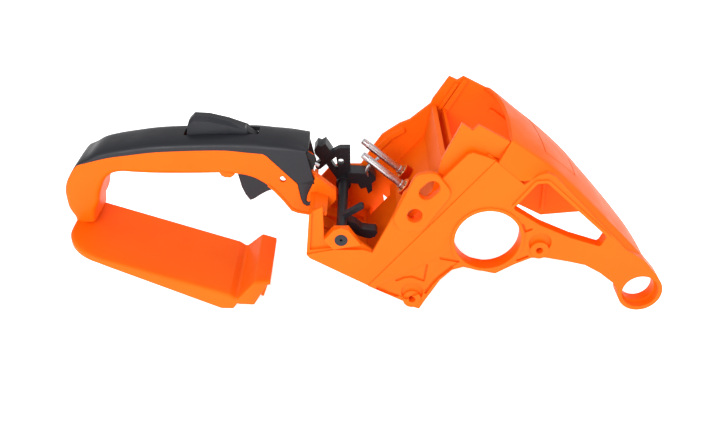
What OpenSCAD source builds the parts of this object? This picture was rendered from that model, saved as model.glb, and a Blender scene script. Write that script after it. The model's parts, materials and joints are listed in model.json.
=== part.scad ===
// Rear handle and air filter housing of a compact chainsaw.
// X runs from the grip to the front mounting ring, Y from the near side wall to
// the far one, and Z up from the surface the housing stands on.
// Side outlines are drawn as [x, z] points and extruded across the body.

/* [Side walls] */
// Distance of the near side wall's outer face from the middle plane of the grip
near_face = 50; // [49.5:0.5:50.5]
// Distance of the far side wall's outer face from the same plane
far_face = 52; // [51:0.5:52]
// Thickness of the moulded walls
wall = 3; // [2.6:0.1:3.2]
// Thickness of the bracket plate
bracket_wall = 4; // [3.6:0.1:4.4]
// Depth that the bracket's edge flanges reach behind its face
flange_depth = 11; // [9:0.5:12]
// Depth of the side bracket's flange round the window
window_depth = 8.6; // [7:0.1:10]

/* [Grip] */
// Width of the grip
grip_w = 34; // [32:0.5:35]
// Width of the hollow inside the grip
grip_hollow_w = 28; // [27:0.5:28.5]
// Width of the throttle trigger
trigger_w = 16; // [12:0.5:18]
// Width of the interlock lever's thumb pad
interlock_w = 12; // [10:0.5:13]
// Width of the hand guard, from the far side of the grip outwards
guard_w = 66; // [64:0.5:66]
// Sideways fall of the hand guard
guard_tilt = 3.2; // [3:0.1:3.3]

/* [Bracket] */
// Radius of the large round opening
opening_r = 22.3; // [20:0.1:22.6]
// Depth of the large round opening's rim
opening_depth = 6.4; // [5:0.1:10]
// Radius of the through bore of the front ring
ring_bore_r = 11; // [9:0.1:11.4]
// Radius of the seat in front of that bore
ring_seat_r = 12.5; // [12:0.1:12.8]
// Outer radius of the front ring
ring_r = 15.3; // [15:0.1:15.4]
// Radius of the two screw holes
screw_hole_r = 2.4; // [2:0.1:2.7]
// Outer radius of the screw bosses
boss_r = 6.3; // [6:0.1:6.6]

/* [Pins and studs] */
// Radius of the carburettor studs
stud_r = 2.5; // [2:0.1:3]
// Length of the carburettor studs
stud_len = 46; // [40:1:50]
// Radius of the studs' roots, which are threaded into the inserts and end in a collar
stud_root_r = 3.2; // [3:0.1:3.3]
// Radius of the trigger's pivot pin
trigger_pin_r = 2; // [1.6:0.1:2.2]
// Radius of the interlock lever's pivot pin
interlock_pin_r = 1.5; // [1.2:0.1:1.8]
// Radius of the switch shaft's near journal
journal_r = 4.4; // [4:0.1:4.6]
// Radius of the switch shaft's far pivot
shaft_pivot_r = 3; // [2.6:0.1:3.2]
// Running clearance on a radius
play = 0.05; // [0.02:0.01:0.1]
// Radius of the throttle rod's wire
rod_r = 1.1; // [0.9:0.1:1.2]

/* [Hidden] */
$fn = 48;

ORANGE = "#ff7a1a";
BLACK = "#34343a";
STEEL = "#b9bcc2";
eps = 0.02;

// Places of the pivots and bores, as [x, z]
trigger_pivot = [-66, 97];
interlock_pivot = [-74, 109.2];
shaft_axis = [-15, 57];
rod_hook = [-61, 107];
open_pin_hole = [-55.2, 85.9];
opening_at = [83, 57.5];
ring_at = [191.7, 15.4];
boss_low = [33.8, 9.2];
boss_high = [118.4, 49.4];
hook_peg = [-37.6, 70];

// The seam and the bulkhead lean at the same angle; studs stand square to them
seam_angle = 49.65;
seam_foot = [3.1, 20.2];
seam_dir = [cos(seam_angle), sin(seam_angle)];
stud_dir = [-sin(seam_angle), cos(seam_angle)];
bulkhead_top = [50, 114];
// Where the bulkhead's stud face meets the step, and how far it stands off the seam
bulkhead_low = 46.4;
bulkhead_off = 12.9;
bulkhead_len = 34;
rod_angle = 27.4;
rod_y = -6.6;

// Lateral places of the studs
stud_near_y = -10;
stud_far_y = 13;
stud_root_len = 12;
insert_r = 4.2;
insert_len = 8.8;

// The moulding's skirts sit in pockets in the grip's sides
skirt_in = 14.3;
skirt_gap = 0.25;
peg_r = 1.2;

function on_line(p, d, s) = [p[0] + d[0] * s, p[1] + d[1] * s];
// The two ends of the seam on the near side
seam_len = 125.2;
seam_line = [seam_foot, on_line(seam_foot, seam_dir, seam_len)];
step_low = on_line(seam_foot, seam_dir, bulkhead_low);
step_high = on_line(step_low, stud_dir, bulkhead_off);
face_top = on_line(step_high, seam_dir, bulkhead_len);
// Foot of the studs on that face, measured up from its lower end
stud_foot = on_line(step_high, seam_dir, 13);

// ---------- helpers ----------

// A side outline, extruded across the body from y0 to y1
module across(y0, y1) {
    translate([0, y1, 0]) rotate([90, 0, 0]) linear_extrude(y1 - y0) children();
}

// A round bore or pin along Y
module cross_pin(p, r, y0, y1) {
    across(y0, y1) translate(p) circle(r);
}

// The outline of a band of width w along a list of points, mitred at its bends and round at its ends
function band(points, w, steps = 6) =
    let (last = len(points) - 1,
         dirs = [for (i = [1 : last]) (points[i] - points[i - 1]) / norm(points[i] - points[i - 1])],
         sides = [for (i = [0 : last])
             let (a = dirs[max(i - 1, 0)], b = dirs[min(i, last - 1)], m = [-a[1] - b[1], a[0] + b[0]])
             m / (1 + a * b)],
         turn = function (d) atan2(d[1], d[0]),
         cap = function (p, from) [for (k = [1 : steps - 1])
             p + w / 2 * [cos(from - 180 * k / steps), sin(from - 180 * k / steps)]])
    concat(
        [for (i = [0 : last]) points[i] + w / 2 * sides[i]],
        cap(points[last], turn(dirs[last - 1]) + 90),
        [for (i = [last : -1 : 0]) points[i] - w / 2 * sides[i]],
        cap(points[0], turn(dirs[0]) - 90)
    );

module groove(points, w) {
    polygon(band(points, w));
}

// A straight slot with round ends
module slot(a, b, w) {
    polygon(band([a, b], w, 16));
}

// The same groove on both sides of the middle plane
module both_sides(y0, y1) {
    across(y0, y1) children();
    across(-y1, -y0) children();
}

// A closed shell between two nets of points, outer and inner, station by station
module shell_loft(outer, inner) {
    n = len(outer);
    m = len(outer[0]);
    base = n * m;
    points = concat([for (s = outer) each s], [for (s = inner) each s]);
    function at(k, i, j) = k * base + i * m + j;
    function quad(a, b, c, d) = [[a, b, c], [a, c, d]];
    faces = concat(
        [for (i = [0 : n - 2]) for (j = [0 : m - 2])
            each quad(at(0, i, j), at(0, i, j + 1), at(0, i + 1, j + 1), at(0, i + 1, j))],
        [for (i = [0 : n - 2]) for (j = [0 : m - 2])
            each quad(at(1, i, j), at(1, i + 1, j), at(1, i + 1, j + 1), at(1, i, j + 1))],
        [for (i = [0 : n - 2])
            each quad(at(0, i, 0), at(0, i + 1, 0), at(1, i + 1, 0), at(1, i, 0))],
        [for (i = [0 : n - 2])
            each quad(at(0, i, m - 1), at(1, i, m - 1), at(1, i + 1, m - 1), at(0, i + 1, m - 1))],
        [for (j = [0 : m - 2])
            each quad(at(0, 0, j), at(1, 0, j), at(1, 0, j + 1), at(0, 0, j + 1))],
        [for (j = [0 : m - 2])
            each quad(at(0, n - 1, j), at(0, n - 1, j + 1), at(1, n - 1, j + 1), at(1, n - 1, j))]
    );
    polyhedron(points, faces);
}

// A wire swept along a list of points
module wire(path, r, sides = 8) {
    n = len(path);
    function tangent(i) =
        let (a = path[max(i - 1, 0)], b = path[min(i + 1, n - 1)])
        (b - a) / norm(b - a);
    function across_of(t) = let (c = cross(t, abs(t[1]) > 0.9 ? [1, 0, 0] : [0, 1, 0])) c / norm(c);
    rings = [for (i = [0 : n - 1])
        let (t = tangent(i), u = across_of(t), v = cross(t, u))
        [for (k = [0 : sides - 1])
            path[i] + r * (cos(360 * k / sides) * u + sin(360 * k / sides) * v)]];
    faces = concat(
        [for (i = [0 : n - 2]) for (k = [0 : sides - 1])
            let (a = i * sides + k, b = i * sides + (k + 1) % sides) each [
                [b, a, b + sides], [b + sides, a, a + sides]]],
        [[for (k = [0 : sides - 1]) k]],
        [[for (k = [sides - 1 : -1 : 0]) (n - 1) * sides + k]]
    );
    polyhedron([for (s = rings) each s], faces);
}

// ---------- outlines ----------

// The seam between the orange grip and the black moulding, from the rear
seam_points = [[-195, 96.4], [-171.6, 102.4], [-144, 106], [-110, 107.6], [-93, 107.6], [-66.5, 104.6]];

module grip_outline() {
    polygon(concat(
        [[-191, 44], [-200, 44], [-203.4, 56.6], [-206.4, 61.5], [-207, 66], [-207, 75.5], [-203, 85.4],
            [-198.6, 92.6]],
        seam_points,
        [[-36, 90.5], [-36, 58], [-50.4, 61.4], [-53.2, 65.4], [-56.6, 70.4], [-61.8, 77], [-66.5, 81.6],
            [-71.6, 85], [-77.6, 87.8], [-84.4, 89.6], [-98, 90.6], [-125, 90.4], [-150, 90.8],
            [-159, 91.6], [-166, 92], [-171, 91.2], [-174.6, 89.2], [-177.8, 85.8], [-180.8, 80.4],
            [-183.2, 73.6], [-184.6, 67.6], [-187, 62], [-189.8, 57.8]]
    ));
}

// The hollow of the grip, which opens upwards, and downwards for the trigger
module grip_hollow() {
    polygon([[-196, 60], [-202.5, 66], [-203.5, 76], [-200, 84.6], [-190, 104], [-66, 112], [-30, 95],
        [-30, 50], [-56, 54], [-80, 76], [-102, 85], [-102, 93.8], [-125, 93.8], [-158, 95], [-171, 95.6],
        [-180, 91.6], [-186.4, 80], [-189, 70], [-193, 60]]);
}

// The skirts of the moulding that clip over the front of the grip
module skirt_outline() {
    polygon([[-68, 106.5], [-66.5, 104.6], [-45.3, 82.3], [-43.4, 71.5], [-42, 67], [-39.6, 65.2],
        [-36.8, 65.6], [-34.6, 68.4], [-34.2, 71.6], [-35.4, 71.8], [-36.2, 69.2], [-38.2, 68],
        [-39.8, 69.6], [-38.9, 74], [-33.4, 86.3], [-33.8, 90.3], [-37, 97], [-38, 106.5]]);
}

// The see-through window beside the front arm
module window_outline() {
    offset(r = 2) offset(delta = -2)
        polygon([[97.8, 81.2], [112, 100], [118.5, 100.4], [162.6, 60], [159, 52], [138, 59], [117, 68.6]]);
}

// The bracket's plate without its ring
module bracket_plate() {
    polygon([[27.6, 7.5], [32.6, 3.3], [38.9, 1], [42.9, 8.4], [52.6, 25.2], [60.4, 33.4], [67.8, 35.8],
        [90, 30.5], [103, 38.2], [113.4, 43.1], [122.8, 43.4], [140, 40], [150.7, 37.4], [161.8, 30.9],
        [171.9, 22.7], [178.5, 13], [198, 8], [203.8, 19], [201.5, 28.5], [190.7, 41], [177, 49.5],
        [166.5, 60.5], [123, 105], [118, 107.3], [112, 105.5], [103.7, 98.8], seam_line[1], seam_line[0]]);
}

module bracket_outline() {
    difference() {
        union() {
            bracket_plate();
            translate(ring_at) circle(ring_r);
        }
        translate(ring_at) circle(ring_seat_r);
    }
}

// ---------- the orange moulding, in regions ----------

module grip_frame() color(ORANGE) {
    half = grip_w / 2;
    inner = grip_hollow_w / 2;
    difference() {
        across(-half, half) grip_outline();
        across(-inner, inner) grip_hollow();
        both_sides(skirt_in, half + 1) offset(delta = skirt_gap) skirt_outline();
        cross_pin(open_pin_hole, 2.3, -half - 1, half + 1);
        both_sides(inner - eps, 15.6) translate(trigger_pivot) circle(trigger_pin_r + 0.02);
        // the column ends on the guard
        guard_level() across(-half - 9, half + 9)
            polygon([[-215, 60.1], [-150, 36.7], [-150, 10], [-215, 10]]);
    }
    both_sides(10, inner + eps) difference() {
        translate(trigger_pivot) circle(4.2);
        translate(trigger_pivot) circle(trigger_pin_r + 0.02);
    }
    // small bumps beside the rear end of the trigger slot
    both_sides(10, half) polygon([[-98.4, 92], [-96, 88.8], [-90.4, 88.2], [-87.4, 91]]);
    // the pegs that the moulding's hooks hold
    both_sides(skirt_in - eps, half) translate(hook_peg) circle(peg_r);
}

// The guard is drawn level from side to side and then tilted about the grip's far edge
module guard_level() {
    half = grip_w / 2;
    translate([0, half, 0]) rotate([guard_tilt, 0, 0]) translate([0, -half, 0]) children();
}

module guard_plate_outline() {
    polygon([[-203, 55.7], [-93.4, 15.9], [-88.5, 12], [-76, 22.8], [-65.7, 19], [-71, 4.6], [-73.6, 5.2],
             [-69.4, 17], [-75.6, 19.2], [-88.6, 8.4], [-94.5, 12.9], [-203, 52.5]]);
}

module guard_plan() {
    r = 26;
    rear = -203;
    half = grip_w / 2;
    near = half - guard_w;
    polygon([[-64, half], [-64, near + 13], [-84, near], [rear + r, near], [rear + r, near + r],
        [rear, near + r], [rear, half]]);
    translate([rear + r, near + r]) circle(r, $fn = 64);
}

module hand_guard() color(ORANGE) {
    half = grip_w / 2;
    near = half - guard_w;
    lip = 2.6;
    // the lip is shallow at the rear and deepens towards the front
    lip_rear_h = 5;
    rear_top = 54.2;
    guard_level() {
        intersection() {
            across(near, half) guard_plate_outline();
            linear_extrude(80) guard_plan();
        }
        // the lip that hangs from the near edge and runs round the rear corner
        intersection() {
            across(near, half - 24) polygon([[-203, rear_top], [-93.8, 14.4], [-88.6, 10.2], [-76, 21],
                [-70, 19.4], [-73, 10], [-77.4, 3.9], [-88.4, 8.4], [-91, 3.9], [-100, 4.2],
                [-180, 43.2], [-203, rear_top - lip_rear_h]]);
            linear_extrude(80) difference() {
                guard_plan();
                offset(delta = -lip) guard_plan();
                translate([-66, -100]) square([20, 200]);
            }
        }
    }
}

// The box's rear wall, leaning with the post, up to the given height
module rear_wall(top) {
    foot = 45.4;
    lean = 0.085;
    x = -38.6;
    reach = lean * (top - foot);
    polygon([[x, foot], [x + reach, top], [x + reach + wall, top], [x + wall, foot], [x + wall, foot - 1.4]]);
}

module carburettor_box() color(ORANGE) {
    y_near = -near_face + 0.6;
    y_in = y_near + wall;
    y_far = far_face - wall;
    half = grip_w / 2;
    // near wall, up to the seam
    difference() {
        across(y_near, y_in) polygon([[-38.6, 45.4], [-36.3, 42.4], seam_line[0], seam_line[1], [80.5, 117.4],
            [69.5, 121.4], [66, 120], [50.5, 102.5], [47, 105.5], [40, 107.5], [26, 92], [19, 74], [6, 46.8],
            [0, 49], [-20, 49.2]]);
        cross_pin([33.6, 76.9], 5, y_near - 1, y_in + 1);
        across(y_near - 1, y_in + 1) slot([40.8, 93.8], [44.4, 97.4], 10);
    }
    // rear post and journal plate, set back from the near face
    across(y_in, y_in + wall) difference() {
        polygon([[-38.6, 45.4], [-36, 76], [-27, 80.5], [-26.6, 57], [-20, 64.8], [-10, 64.8], [-2, 52.6],
                 [6, 46.8], [8, 38], [0, 34], [-28, 41.5]]);
        translate(shaft_axis) circle(journal_r + play);
    }
    across(-near_face, y_in) difference() {
        polygon([[-26.6, 56.9], [-20, 64.6], [-15, 66.4], [-10, 64.8], [-1.6, 53], [-20.3, 49.7]]);
        translate(shaft_axis) circle(journal_r + play);
    }
    across(y_near + 1, y_in)
        polygon([[-38.6, 45.4], [-36, 76], [-34.2, 76.8], [-36.3, 48.4], [-18, 50.4], [-18, 46]]);
    // floor
    across(y_in, y_far) polygon([[-38.6, 45.4], [-36.3, 42.4], [2.9, 20.4], [5.2, 23], [-34.4, 45.2]]);
    // rear wall, lower where the grip runs in
    across(y_in + wall, -half) rear_wall(76);
    across(-half, half) rear_wall(56.6);
    across(half, y_far) rear_wall(61);
    // cheeks that carry the grip into the box
    across(-half, -skirt_in) difference() {
        polygon([[-36, 89.6], [-33.2, 89.2], [-19, 76.6], [-19, 70], [-30, 56.9], [-36, 56.9]]);
        offset(delta = skirt_gap) skirt_outline();
        translate(hook_peg) circle(peg_r + play);
    }
    across(-skirt_in, -11.4)
        polygon([[-36, 90.4], [-33.2, 89.6], [-19, 77], [-19, 70], [-30, 56.9], [-36, 56.9]]);
    // the far cheek is lower
    across(11.4, half) difference() {
        polygon([[-36, 64], [-30, 66], [-22, 64], [-30, 56.9], [-36, 56.9]]);
        offset(delta = skirt_gap) skirt_outline();
    }
    // ribs on the floor
    for (y = [-30, -8, 10, 30])
        across(y, y + 1.6) polygon([[-35, 45], [-18, 40], [0, 29.6], [0.5, 25]]);
    // ledge between the near cheek and the post
    across(-near_face + 9, -half) polygon([[-33, 76.5], [-33, 73.8], [-25, 70.8], [-24.4, 73]]);
}

// The wall that the carburettor bolts to: upright at its top edge, square to the studs
// below that, and set back to the seam at its foot
module bulkhead() color(ORANGE) {
    y_near = -near_face + 0.6 + wall;
    y_far = far_face - wall;
    t = 3.4;
    notch_w = 13;
    difference() {
        union() {
            across(-41, y_far) polygon([bulkhead_top, bulkhead_top + [t, 0], face_top + [t + 0.6, 0],
                on_line(step_high, stud_dir, -t), step_high, face_top]);
            across(y_near, y_far) polygon([step_high, on_line(step_high, seam_dir, t),
                on_line(step_low, seam_dir, t), step_low]);
            across(y_near, y_far) polygon([on_line(seam_foot, seam_dir, 3.6), on_line(step_low, seam_dir, t),
                on_line(step_low, stud_dir, t), on_line(on_line(seam_foot, stud_dir, t), seam_dir, 3.6)]);
            for (y = [stud_near_y, stud_far_y]) stud_axis(stud_foot, y) cylinder(h = 9, r = 6);
        }
        // notch beside the far wall's small opening
        across(y_far - notch_w, y_far + 1) polygon([[9, 24], [24, 42], [19, 47], [4, 29]]);
        for (y = [stud_near_y, stud_far_y])
            stud_axis(stud_foot, y) translate([0, 0, -20]) cylinder(h = 60, r = insert_r + play);
    }
}

// Puts its children on a stud's axis, with +Z along the stud
module stud_axis(foot, y) {
    translate([foot[0], y, foot[1]]) rotate([0, -seam_angle, 0]) translate([0, 0, -3.4]) children();
}

module far_side_wall() color(ORANGE) {
    y0 = far_face - wall;
    across(y0, far_face) difference() {
        polygon([[-38.6, 45.4], [-33, 54], [-27, 61], [-20, 64.6], [-2, 64.6], [6, 78], [13.8, 89.4],
            [19.7, 93.6], [27, 98.5], [34.4, 101.7], [49.4, 114.4], [50.7, 118], [62.2, 135.4], [68.2, 132.6],
            [72.6, 135.4], [90, 126.4], [93.4, 124.8], [107, 113.6], [121, 102.6], [132.4, 93], [144, 82.4],
            [154, 71.6], [164.6, 60.2], [172.5, 51], [180, 42.2], [185, 34.6], [178, 28],
            [171.3, 23.5], [140, 20.5], [123, 29.3], [100, 38], [78, 44], [67, 32], [67, 4], [62, 0],
            [15, 0], [9, 5], [7, 17.6]]);
        polygon([[15.3, 38.6], [25, 29.5], [16.3, 31.2]]);
        translate(shaft_axis) circle(shaft_pivot_r + play);
    }
    // boss round the shaft's far pivot and a swelling over the carburettor
    across(y0 - 2, y0) difference() {
        translate(shaft_axis) circle(6);
        translate(shaft_axis) circle(shaft_pivot_r + play);
    }
    across(y0 - 3, y0) groove([[10, 78], [20, 88.6], [29, 94]], 4);
    across(y0 - 2.4, y0) groove([[94, 110], [118, 92]], 2.4);
    across(y0 - 2.4, y0) groove([[130, 84], [140, 58], [140, 26]], 2.4);
}

// The chamber that seats the filter: its two side walls with notched upper edges
module filter_seat() color(ORANGE) {
    rim = [[93.1, 126.4], [72.5, 137.8], [69, 134.2], [61.9, 138.9]];
    across(-44, -41) polygon(concat(rim, [[50.2, 114], [47.2, 101], [58, 92.6], [80, 117.8], [86.4, 114.8]]));
    // folds that run down the far wall from its notch
    across(far_face - wall - 2.4, far_face - wall) polygon([[72.4, 134.4], [75.6, 132.6], [61.4, 108],
        [56.6, 108.6]]);
    across(far_face - wall - 1.4, far_face - wall)
        polygon([[66.6, 131.4], [69, 130.2], [57, 110], [54, 110.4]]);
    // the inner step behind the bulkhead's top edge
    across(-42, far_face - wall - 1) polygon([[58, 112.8], [60.2, 111.6], [57.4, 91], [55, 91.4]]);
    // webs that join the side walls to the near wall
    across(-46.4, -43) polygon([[84, 115.5], [80, 119], [56.8, 94.2], [60, 90]]);
}

// ---------- shroud ----------

// The crown's near edge, from the rear rim to the nose, and its height across the body
crown_line = [[94.5, 126.5], [109, 116.5], [123.7, 106], [135, 96], [146.3, 85.2], [157, 74.6], [168, 63.7],
    [176.5, 55.2], [184.5, 47], [191.5, 39.5]];
skirt_depth = [16, 17.5, 3.8, 5, 5.4, 5.6, 6, 6.2, 4.6, 3.4];
// How far the crown bows up at its middle, and falls at its far edge
crown_bow = [5.6, 5, 4.4, 4.2, 4, 3.5, 3, 2.8, 2.6, 2.4];
crown_fall = [0.4, 2, 2.8, 2.5, 2.2, 2.9, 3.6, 4.4, 5.3, 6];
crown_places = [-50, -43.6, -42.4, -36, -26, -14, 0, 14, 26, 36, 43, 49];
function crown_height(i, y) =
    crown_bow[i] * (1 - pow(y / 46, 2)) - crown_fall[i] * (y + 43) / 92 - 0.15 * max(0, y - 43)
    - (y < -43 ? 1 : 0);
function crown_normal(i) =
    let (a = crown_line[max(i - 1, 0)],
         b = crown_line[min(i + 1, len(crown_line) - 1)],
         d = (b - a) / norm(b - a))
    [-d[1], d[0]];
// The first point of each station lies on the near side wall, at the foot of the crown's skirt
function crown_point(i, q, inset) =
    let (n = crown_normal(i), p = crown_line[i],
         back = i == 0 ? 0.05 * (q + 50) : 0,
         y = q + (q < -40 ? inset * 0.9 : 0),
         h = q < -45 ? -skirt_depth[i] : crown_height(i, q) - inset)
    [p[0] + n[0] * h - n[1] * back, y, p[1] + n[1] * h + n[0] * back];

module shroud() color(ORANGE) {
    n = len(crown_line);
    outer = [for (i = [0 : n - 1]) [for (q = crown_places) crown_point(i, q, 0)]];
    inner = [for (i = [0 : n - 1]) [for (q = crown_places) crown_point(i, q, 2.7)]];
    difference() {
        shell_loft(outer, inner);
        across(-near_face - 5, -near_face + flange_depth + 0.02) bracket_plate();
        // the recessed panel on the crown
        panel_recess();
    }
}

// A thin parallelogram sunk into the crown
module panel_recess() {
    corner = crown_line[2];
    crown_slope = 36.7;
    floor_height = 4.4;
    translate([corner[0], 0, corner[1]]) rotate([0, crown_slope, 0]) translate([0, 0, floor_height])
        linear_extrude(4) polygon([[-4, 21.6], [22, 23.4], [26, -17.4], [2, -18.8]]);
}

// ---------- bracket ----------

module side_bracket() color(ORANGE) {
    y0 = -near_face;
    y1 = y0 + bracket_wall;
    y2 = y0 + flange_depth;
    difference() {
        union() {
            across(y0, y1) difference() {
                bracket_outline();
                window_outline();
            }
            // edge flange and window flange
            across(y1, y2) difference() {
                bracket_outline();
                offset(delta = -2.4) bracket_outline();
            }
            across(y1, y0 + window_depth) intersection() {
                bracket_outline();
                difference() {
                    offset(delta = 2.4) window_outline();
                    window_outline();
                }
            }
            // raised bead over the window
            across(y0 - 1, y0) intersection() {
                difference() {
                    offset(delta = 2.2) window_outline();
                    window_outline();
                }
                polygon([[90, 84], [106, 120], [180, 60], [162, 60], [120, 92], [104, 84]]);
            }
            // rim of the large opening
            cross_pin(opening_at, opening_r + 2.2, y0 - 0.8, y0 + opening_depth);
            // screw bosses
            for (p = [boss_low, boss_high]) cross_pin(p, boss_r, y0 - 0.8, y0 + 14);
            cross_pin(ring_at, ring_r, y0, y0 + 13.5);
        }
        cross_pin(opening_at, opening_r, y0 - 5, y2 + 5);
        for (p = [boss_low, boss_high]) cross_pin(p, screw_hole_r, y0 - 5, y0 + 20);
        cross_pin(ring_at, ring_bore_r, y0 - 5, y0 + 20);
        cross_pin(ring_at, ring_seat_r, y0 - 5, y0 + 5.5);
        // scoops above the bosses
        for (p = [boss_low, boss_high]) across(y0 - 2, y0 + 2.2) difference() {
            translate(p + [0, 5.6]) circle(7.6);
            translate(p) circle(boss_r);
        }
        // sunk field between the step lines, and the grooves that stiffen it
        across(y0 - 2, y0 + 0.6)
            polygon([[8.6, 19.6], [30, 9.4], [43.4, 17], [57, 33.6], [63.6, 38.2], [59, 48.6]]);
        across(y0 - 2, y0 + 2) {
            groove([[9.5, 17.9], [23.4, 11.9]], 1.8);
            groove([[43, 14.4], [46.9, 21.4], [51.1, 27], [60.2, 35.6]], 1.8);
            groove([[43.3, 37.1], [41.6, 24.4]], 1.4);
            groove([[22.9, 24.6], [28.3, 27.2], [33.5, 27.8], [41, 24.6]], 2);
            groove([[52.6, 42.4], [64.2, 40.2]], 2);
            groove([[105.6, 69], [108, 64], [111.6, 65.6]], 1.6);
            groove([[104.4, 41.2], [111, 44.4]], 1.6);
        }
    }
}

module adjuster_plate() color(ORANGE) {
    y0 = -far_face;
    y1 = -near_face + 0.6;
    difference() {
        across(y0, y1) offset(r = 4) offset(delta = -4)
            polygon([[19, 74.5], [33.6, 107], [46.5, 108.5], [58, 93.4], [39, 65], [24, 65.5]]);
        cross_pin([33.6, 76.9], 5, y0 - 1, y1 + 1);
        across(y0 - 1, y1 + 1) slot([40.8, 93.8], [44.4, 97.4], 10);
    }
}

// ---------- the black moulding ----------

// Stations along the top of the grip: x, height of the seam, height of the crown
moulding_line = [
    [-198, 93.3, 94], [-195, 96.4, 97.6], [-189, 98.1, 101.4], [-181.5, 100.2, 106.2],
    [-171.6, 102.4, 109], [-159.5, 104.2, 111.2], [-144, 106.1, 113.4], [-110, 107.7, 114.8],
    [-93, 107.7, 115.2], [-74, 105.7, 115.4], [-62, 104.7, 114], [-50, 104.8, 112.4],
    [-41, 105.2, 110], [-36.6, 106, 108.4]
];
moulding_steps = 14;

function moulding_point(s, k, inset) =
    let (a = 180 * k / moulding_steps, half = grip_w / 2 - inset,
         y = -half * cos(a), lift = pow(sin(a), 0.62))
    [s[0], abs(cos(a)) > 0.98 ? sign(y) * half : y, s[1] + max(s[2] - s[1] - inset, 0.3) * lift];

module handle_moulding() color(BLACK) {
    half = grip_w / 2;
    outer = [for (s = moulding_line) [for (k = [0 : moulding_steps]) moulding_point(s, k, 0)]];
    inner = [for (s = moulding_line) [for (k = [0 : moulding_steps]) moulding_point(s, k, 2.6)]];
    difference() {
        union() {
            shell_loft(outer, inner);
            // front wall
            across(-half + 2.6, half - 2.6)
                polygon([[-39.6, 103], [-36.6, 104.6], [-36.6, 108], [-39.6, 109.4]]);
            both_sides(skirt_in + 0.1, half) skirt_outline();
            both_sides(interlock_w / 2 + 2.2, 14.6) difference() {
                translate(interlock_pivot) circle(3.2);
                translate(interlock_pivot) circle(interlock_pin_r + 0.02);
            }
        }
        // slot for the interlock lever
        translate([-122.4, -interlock_w / 2 - 0.5, 108]) cube([51, interlock_w + 1, 30]);
        both_sides(5, 14) translate(interlock_pivot) circle(interlock_pin_r + 0.02);
    }
}

module interlock_lever() color(BLACK) {
    w = interlock_w / 2;
    difference() {
        union() {
            across(-w, w) polygon([[-120.6, 118], [-119.4, 123.4], [-115.8, 127.2], [-110, 127.4],
                [-104, 126.6], [-91, 123.4], [-80, 119.4], [-78, 115], [-90, 115], [-108, 112], [-119, 111]]);
            across(-4, 4) groove([[-84, 116], interlock_pivot], 7);
            across(-4, 4) polygon([[-98, 114], [-90, 115.5], [-92, 108.5], [-97, 106]]);
        }
        cross_pin(interlock_pivot, interlock_pin_r + play, -w - 1, w + 1);
    }
}

module interlock_pin() color(STEEL) {
    cross_pin(interlock_pivot, interlock_pin_r, -13.8, 13.8);
}

// A torsion spring round a pin: a coil with two straight legs
module torsion_spring(pivot, r, wire_r, y0, pitch, turns, leg_a, leg_b) {
    steps = 12 * turns;
    coil = [for (i = [0 : steps]) let (a = leg_a[0] + 360 * turns * i / steps)
        [pivot[0] + r * cos(a), y0 + pitch * turns * i / steps, pivot[1] + r * sin(a)]];
    a0 = leg_a[0];
    a1 = leg_a[0] + 360 * turns;
    start = coil[0] + leg_a[1] * [sin(a0), 0, -cos(a0)];
    end = coil[steps] + leg_b * [-sin(a1), 0, cos(a1)];
    wire(concat([start], coil, [end]), wire_r, 6);
}

module interlock_spring() color(STEEL) {
    torsion_spring(interlock_pivot, 2.2, 0.4, 4.8, 0.95, 3, [60, 6], 1.5);
}

module throttle_trigger() color(BLACK) {
    w = trigger_w / 2;
    difference() {
        union() {
            // finger blade
            across(-w, w) polygon([[-90, 87], [-89, 76.7], [-86.4, 65.6], [-83.2, 58.4], [-81, 59],
                [-75.5, 63.6], [-69, 67.4], [-62.4, 70.6], [-63, 80], [-64.6, 88], [-70, 90.5]]);
            across(-w + 1, w - 1)
                polygon([[-88.5, 88], [-64.6, 86], [-61, 97], [-66, 102], [-72, 100], [-84, 92.5]]);
            across(-4, 4) groove([trigger_pivot, rod_hook], 7.6);
            cross_pin(trigger_pivot, 5, -9.7, 9.7);
        }
        cross_pin(trigger_pivot, trigger_pin_r + play, -12, 12);
        cross_pin(rod_hook, 2.2, -6, 6);
        // hollow behind the finger blade, open towards the grip
        across(-w + 2, w - 2) polygon([[-95, 84.5], [-95, 61.5], [-83.2, 61.5], [-77.4, 66], [-70.6, 70],
            [-66, 72.4], [-67, 84.5]]);
    }
}

module trigger_pin() color(STEEL) {
    cross_pin(trigger_pivot, trigger_pin_r, -15.5, 15.5);
}

module trigger_spring() color(STEEL) {
    // it sits between the hub and the cheek boss
    torsion_spring(trigger_pivot, 5.6, 0.5, 10.6, 1.1, 2, [100, 9], 10);
}

module throttle_rod() color(STEEL) {
    y_run = rod_y;
    length = 34;
    translate([rod_hook[0], y_run, rod_hook[1]]) rotate([0, 90 + rod_angle, 0])
        cylinder(h = length, r = rod_r);
    cross_pin(rod_hook, rod_r, y_run - rod_r, 5);
}

module rod_boot() color(BLACK) {
    difference() {
        across(-14, -3)
            polygon([[-43, 99.2], [-40, 101.8], [-33, 96.4], [-34.4, 91.8], [-37, 91.8], [-38, 90.8],
                [-43, 91]]);
        translate([rod_hook[0], rod_y, rod_hook[1]]) rotate([0, 90 + rod_angle, 0])
            cylinder(h = 60, r = rod_r + 0.4);
    }
}

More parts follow.
